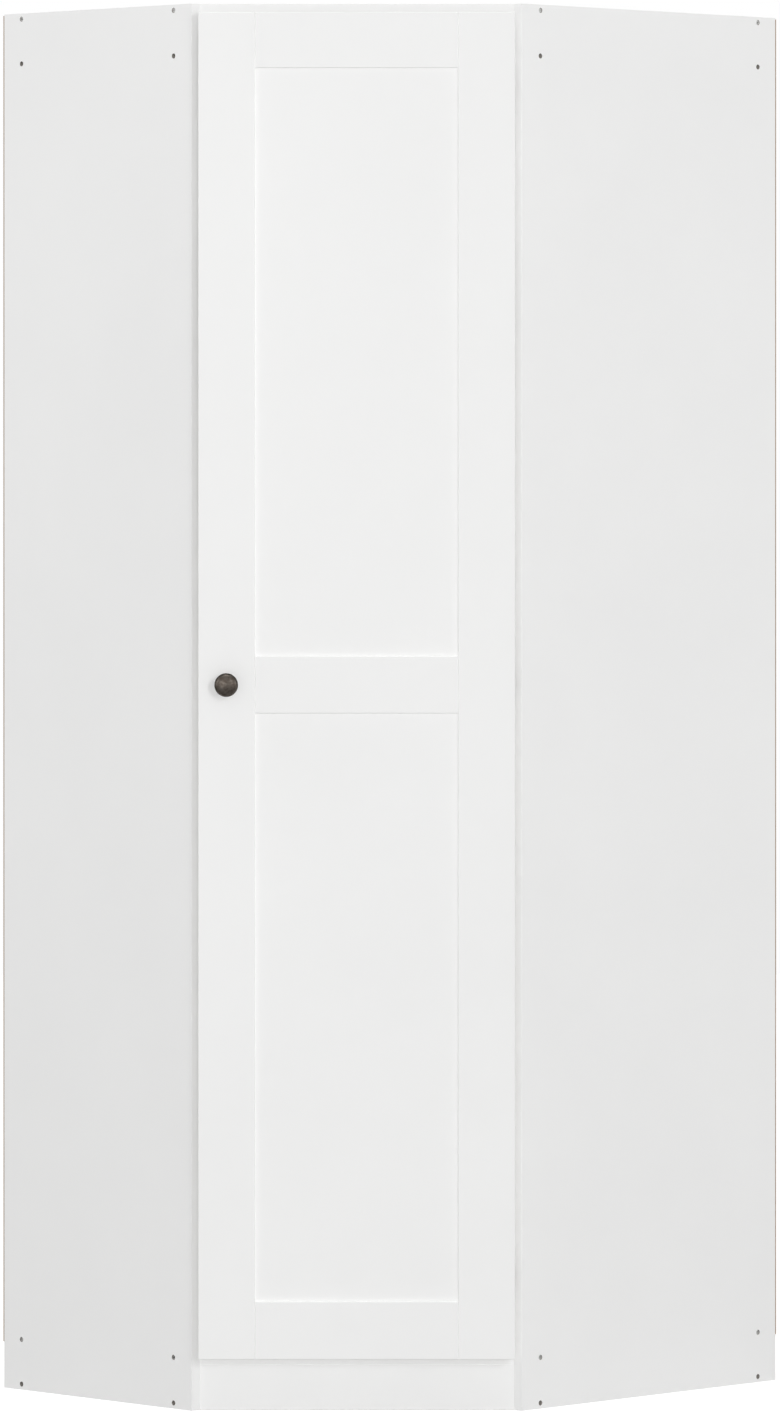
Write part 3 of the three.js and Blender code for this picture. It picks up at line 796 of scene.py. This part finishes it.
def knob_profile():
    """Half of the knob's section: foot, waisted neck, lip, rim, groove and dome."""
    shoulder = KNOB_HEAD_FROM + KNOB_RIM_HEIGHT
    dome_radius = KNOB_RADIUS - KNOB_RIM_WIDTH
    rise = knob_height - shoulder
    profile = [(0, 0), (KNOB_FOOT_RADIUS, 0), (KNOB_FOOT_RADIUS, KNOB_FOOT_HEIGHT * 0.5)]
    for i in range(NECK_STEPS + 1):
        share = i / NECK_STEPS
        height = KNOB_FOOT_HEIGHT + (KNOB_HEAD_FROM - KNOB_FOOT_HEIGHT) * share
        profile.append((neck_radius(share), height))
    profile += [(KNOB_RADIUS - inward, KNOB_HEAD_FROM + up) for inward, up in KNOB_LIP]
    profile += [(KNOB_RADIUS, shoulder), (dome_radius + KNOB_GROOVE, shoulder)]
    profile.append((dome_radius, shoulder - KNOB_GROOVE))
    for i in range(DOME_STEPS):
        turn = math.pi / 2 * i / DOME_STEPS
        profile.append((dome_radius * math.cos(turn), shoulder + rise * math.sin(turn)))
    profile.append((0, knob_height))
    return profile


def make_knob():
    work = spun(knob_profile(), knob_centre, OUT)
    # Faces on the rim, in its groove and under its lip take the darker bronze, partly painted shade.
    for face in work.faces:
        middle = face.calc_center_median() - knob_centre
        away = (middle - OUT * middle.dot(OUT)).length
        face.material_index = int(away > KNOB_RADIUS - KNOB_RIM_WIDTH - KNOB_GROOVE)
    piece = make_piece(work, "knob_turned", [BRONZE, RIM_BRONZE_PAINTED_SHADE], body_of("knob"), ["knob"])
    return ease(piece, KNOB_EDGE)


make_knob()
print("knob stands", round(knob_height / MM, 1), "mm off the stile")

# %% [markdown]
# The clothes rail is drawn tube, spun again with more steps than the frame has, so that its highlight is
# one clean line.

# %% Rail, brackets and caps
RAIL_RADIUS = 12.5 * MM
RAIL_WALL = 1.2 * MM
RAIL_EDGE = 0.3 * MM
MOULDED_EDGE = 0.8 * MM
rail_low, rail_high = front_box("clothes_rail")
rail_start = FRONT @ Vector((rail_low.x, (rail_low.y + rail_high.y) / 2, (rail_low.z + rail_high.z) / 2))
rail_length = rail_high.x - rail_low.x
bore = RAIL_RADIUS - RAIL_WALL
tube = [(bore, 0), (RAIL_RADIUS, 0), (RAIL_RADIUS, rail_length), (bore, rail_length), (bore, 0)]
turned = spun(tube, rail_start, ACROSS)
rail = make_piece(turned, "clothes_rail_drawn", [CHROME], "carcass", ["clothes_rail"])
ease(rail, RAIL_EDGE)
for side in ("left", "right"):
    for fitting in ("bracket", "cap"):
        eased_copy(f"rail_{fitting}_{side}", "moulded", [PLASTIC], MOULDED_EDGE)
print("rail length", round(rail_length, 4))

# %% [markdown]
# Fasteners are seen close up when the door stands open, so each kind has its own head. The case screws have
# a socket for a six-sided key, the others a cross. A recess is a small outline on the head: it is bridged
# to the head's rim, pushed in and closed at its floor.

# %% Screw heads
SOCKET_SIDES = 6
CROSS_ARM_TURN = math.radians(14)
CROSS_ARMS = 4
SCREW_STEPS = 32
SCREW_EDGE = 0.12 * MM
DOME_OUT_SHARE = 0.8
DOME_RISE_SHARE = 0.25


def recess_outline(work, kind, radius, centre, axis):
    """The edges of a six-sided or cross-shaped outline on a screw's head."""
    turn = axis.to_track_quat("Z", "Y").to_matrix()
    if kind == "socket":
        places = [(radius, math.tau * i / SOCKET_SIDES) for i in range(SOCKET_SIDES)]
    else:
        waist = radius * math.sin(CROSS_ARM_TURN) * math.sqrt(2)
        places = []
        for arm in range(CROSS_ARMS):
            middle = math.tau * arm / CROSS_ARMS
            places += [(radius, middle - CROSS_ARM_TURN), (radius, middle + CROSS_ARM_TURN)]
            places.append((waist, middle + math.tau / CROSS_ARMS / 2))
    verts = []
    for reach, angle in places:
        across_head = Vector((reach * math.cos(angle), reach * math.sin(angle), 0))
        verts.append(work.verts.new(centre + turn @ across_head))
    return [work.edges.new((verts[i], verts[(i + 1) % len(verts)])) for i in range(len(verts))]


def screw_shape(profile, centre, axis, kind, recess_radius, recess_depth):
    """A screw along axis, head first. Its profile runs from the head face's inner ring to the axis."""
    work = spun(profile, centre, axis, SCREW_STEPS)
    head_ring = [edge for edge in work.edges if edge.is_boundary]
    outline = recess_outline(work, kind, recess_radius, centre + axis * profile[0][1], axis)
    bmesh.ops.bridge_loops(work, edges=head_ring + outline)
    pushed = bmesh.ops.extrude_edge_only(work, edges=outline)["geom"]
    floor_verts = [part for part in pushed if isinstance(part, bmesh.types.BMVert)]
    bmesh.ops.translate(work, verts=floor_verts, vec=axis * recess_depth)
    floor_edges = [part for part in pushed if isinstance(part, bmesh.types.BMEdge) and part.is_boundary]
    bmesh.ops.edgeloop_fill(work, edges=floor_edges)
    bmesh.ops.recalc_face_normals(work, faces=work.faces)
    return work


def screw_profile(ring, head_radius, head_rise, head_length, shank_radius, length):
    """A domed head with a rounded rim, then a plain shank with a blunt point."""
    dome = (head_radius * DOME_OUT_SHARE, head_rise * DOME_RISE_SHARE)
    profile = [(ring, 0), dome, (head_radius, head_rise)]
    profile += [(head_radius, head_length), (shank_radius, head_length)]
    return profile + [(shank_radius, length - shank_radius), (0, length)]


def head_place(name, axis):
    """The centre of a screw's head face: the node's end against the axis."""
    low, high = front_box(name)
    middle = FRONT @ ((low + high) / 2)
    reach = max((vertex.co - middle).dot(-axis) for vertex in frame["nodes"][name].data.vertices)
    length = 2 * reach
    return middle - axis * reach, length


def put_screw(name, axis, kind, sizes, recess_radius, recess_depth):
    centre, length = head_place(name, axis)
    work = screw_shape(screw_profile(*sizes, length), centre, axis, kind, recess_radius, recess_depth)
    piece = make_piece(work, f"{name}_plated", [ZINC], body_of(name), [name])
    return ease(piece, SCREW_EDGE, 1)


print("screws are turned in", SCREW_STEPS, "steps")

# %% [markdown]
# The eight case screws sit in drilled holes of the side panels, which are a little wider than their heads.

# %% Case screws
CASE_HEAD = (2.6 * MM, 3.2 * MM, 0.35 * MM, 4 * MM, 2.5 * MM)
SOCKET = (1.9 * MM, 2.2 * MM)
INTO_LEFT = Vector((1, 0, 0))
INTO_RIGHT = Vector((0, 1, 0))
for end in ("bottom", "top"):
    for place in ("front", "rear"):
        put_screw(f"screw_left_{end}_{place}", INTO_LEFT, "socket", CASE_HEAD, *SOCKET)
        put_screw(f"screw_right_{end}_{place}", INTO_RIGHT, "socket", CASE_HEAD, *SOCKET)
print("case screws have sockets", round(SOCKET[0] / MM, 1), "mm in radius")

# %% [markdown]
# The knob's screw and the screws of the hinges have low heads with a cross. A head's numbers are the radius
# round its recess, its own radius, its dome's rise, its height and the shank's radius. A cross has a reach
# and a depth.

# %% Cross-head screws
KNOB_SCREW_HEAD = (2.9 * MM, 4.0 * MM, 0.9 * MM, 2.4 * MM, 2.0 * MM)
CUP_SCREW_HEAD = (2.4 * MM, 3.2 * MM, 1.1 * MM, 1.5 * MM, 1.8 * MM)
ARM_SCREW_HEAD = (2.6 * MM, 3.6 * MM, 0.6 * MM, 1.6 * MM, 2.0 * MM)
KNOB_CROSS = (2.3 * MM, 1.4 * MM)
CUP_CROSS = (1.8 * MM, 1.0 * MM)
ARM_CROSS = (2.0 * MM, 1.0 * MM)
PANEL_FACE = Vector((0, -1, 0))
put_screw("knob_screw", OUT, "cross", KNOB_SCREW_HEAD, *KNOB_CROSS)
for level in ("bottom", "middle", "top"):
    for place in ("lower", "upper"):
        put_screw(f"hinge_cup_screw_{level}_{place}", OUT, "cross", CUP_SCREW_HEAD, *CUP_CROSS)
    put_screw(f"hinge_arm_screw_{level}", PANEL_FACE, "cross", ARM_SCREW_HEAD, *ARM_CROSS)
print("cross-head screws seated")

# %% [markdown]
# Each mounting plate is held to the side panel by two screws of its own through its wings. Only their heads
# show, so these are short screws that end inside the plate.

# %% Screws of the mounting plates
PLATE_HOLE_BEHIND = 37 * MM
PLATE_HOLE_SPREAD = 16 * MM
PLATE_THICKNESS = 2.0 * MM
BOARD = 16 * MM
PLATE_HEAD_HEIGHT = 1.2 * MM
PLATE_SCREW_LENGTH = 3.0 * MM
PLATE_SCREW_HEAD = (2.4 * MM, 3.3 * MM, 0.9 * MM, PLATE_HEAD_HEIGHT, 1.7 * MM)
PLATE_CROSS = (1.9 * MM, 0.9 * MM)
for level in ("bottom", "middle", "top"):
    plate_low, plate_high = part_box(f"hinge_plate_{level}")
    for way, place in ((-1, "lower"), (1, "upper")):
        head_face = right_corner.y + BOARD + PLATE_THICKNESS + PLATE_HEAD_HEIGHT
        centre = Vector((right_corner.x + PLATE_HOLE_BEHIND, head_face, 0))
        centre.z = (plate_low.z + plate_high.z) / 2 + way * PLATE_HOLE_SPREAD
        profile = screw_profile(*PLATE_SCREW_HEAD, PLATE_SCREW_LENGTH)
        work = screw_shape(profile, centre, PANEL_FACE, "cross", *PLATE_CROSS)
        head = make_piece(work, f"hinge_plate_screw_{level}_{place}", [ZINC], "carcass")
        ease(head, SCREW_EDGE, 1)
print("mounting plates have two screws each")

# %% [markdown]
# Hinge plates, arms and cups are pressed steel and keep the frame's shape with eased edges. Pins and shelf
# pins are turned.

# %% Hinges and pins
PRESSED_EDGE = 0.45 * MM
PIN_EDGE = 0.3 * MM
SHELF_PIN_EDGE = 0.8 * MM
for level in ("bottom", "middle", "top"):
    for part in ("plate", "arm", "cup"):
        eased_copy(f"hinge_{part}_{level}", "pressed", [NICKEL], PRESSED_EDGE)
    eased_copy(f"hinge_pin_{level}", "turned", [ZINC], PIN_EDGE)
for pin in ("left_front", "left_rear", "right_front", "right_rear", "post"):
    eased_copy(f"shelf_pin_{pin}", "turned", [NICKEL], SHELF_PIN_EDGE, segments=3)
print("hinge metal eased by", PRESSED_EDGE / MM, "mm")

# %% [markdown]
# The backs are nailed to the rear edges of the boards. A nail's head is shallow and narrows towards its
# face, and the heads on one back are one piece, set out along its four lines of nails.

# %% Nails round the backs
NAIL_RADIUS = 2.3 * MM
NAIL_RISE = 0.45 * MM
NAIL_SPACING = 118 * MM
NAIL_FROM_END = 45 * MM
NAIL_SIDES = 12
NAIL_CROWN_SHARE = 0.62
NAIL_EDGE = 0.15 * MM
BACK_INSET = 2 * MM
POST_SIDE = 30 * MM


def nail_line(start, end):
    """Evenly spaced places from one end of a line to the other, clear of its corners."""
    run = end - start
    usable = run.length - 2 * NAIL_FROM_END
    count = max(round(usable / NAIL_SPACING), 1)
    way = run.normalized()
    return [start + way * (NAIL_FROM_END + usable * i / count) for i in range(count + 1)]


def nail_back(name, lines, outward):
    """Nail heads on a back, in one piece. Each is a very low cone, whose edges are then eased."""
    work = bmesh.new()
    turn = outward.to_track_quat("Z", "Y").to_matrix().to_4x4()
    for start, end in lines:
        for place in nail_line(start, end):
            seat = Matrix.Translation(place - outward * NAIL_RISE) @ turn
            bmesh.ops.create_cone(
                work, cap_ends=True, segments=NAIL_SIDES, radius1=NAIL_RADIUS,
                radius2=NAIL_RADIUS * NAIL_CROWN_SHARE, depth=NAIL_RISE,
                matrix=seat @ Matrix.Translation((0, 0, NAIL_RISE / 2)),
            )
    nails = make_piece(work, name, [ZINC], "carcass")
    return ease(nails, NAIL_EDGE)


def back_lines(low, high, along, inset_start, inset_end):
    """Four lines of nails round a back: two upright and two level."""
    start = low.copy()
    end = high.copy()
    start[along] += inset_start
    end[along] -= inset_end
    half_board = BOARD / 2
    lower = start.z - BACK_INSET + half_board
    upper = end.z + BACK_INSET - half_board
    corners = []
    for reach in (start[along], end[along]):
        foot = high.copy()
        foot[along] = reach
        foot.z = lower
        top = foot.copy()
        top.z = upper
        corners.append((foot, top))
    level_lines = [(corners[0][0], corners[1][0]), (corners[0][1], corners[1][1])]
    return corners + level_lines


left_back_low, left_back_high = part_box("left_back")
right_back_low, right_back_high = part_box("right_back")
left_lines = back_lines(left_back_low, left_back_high, 0, BOARD / 2, POST_SIDE / 2)
right_lines = back_lines(right_back_low, right_back_high, 1, BOARD / 2, POST_SIDE / 2)
nail_back("left_back_nails", left_lines, REAR_LEFT)
nail_back("right_back_nails", right_lines, REAR_RIGHT)
print("nails every", round(NAIL_SPACING / MM), "mm or so")
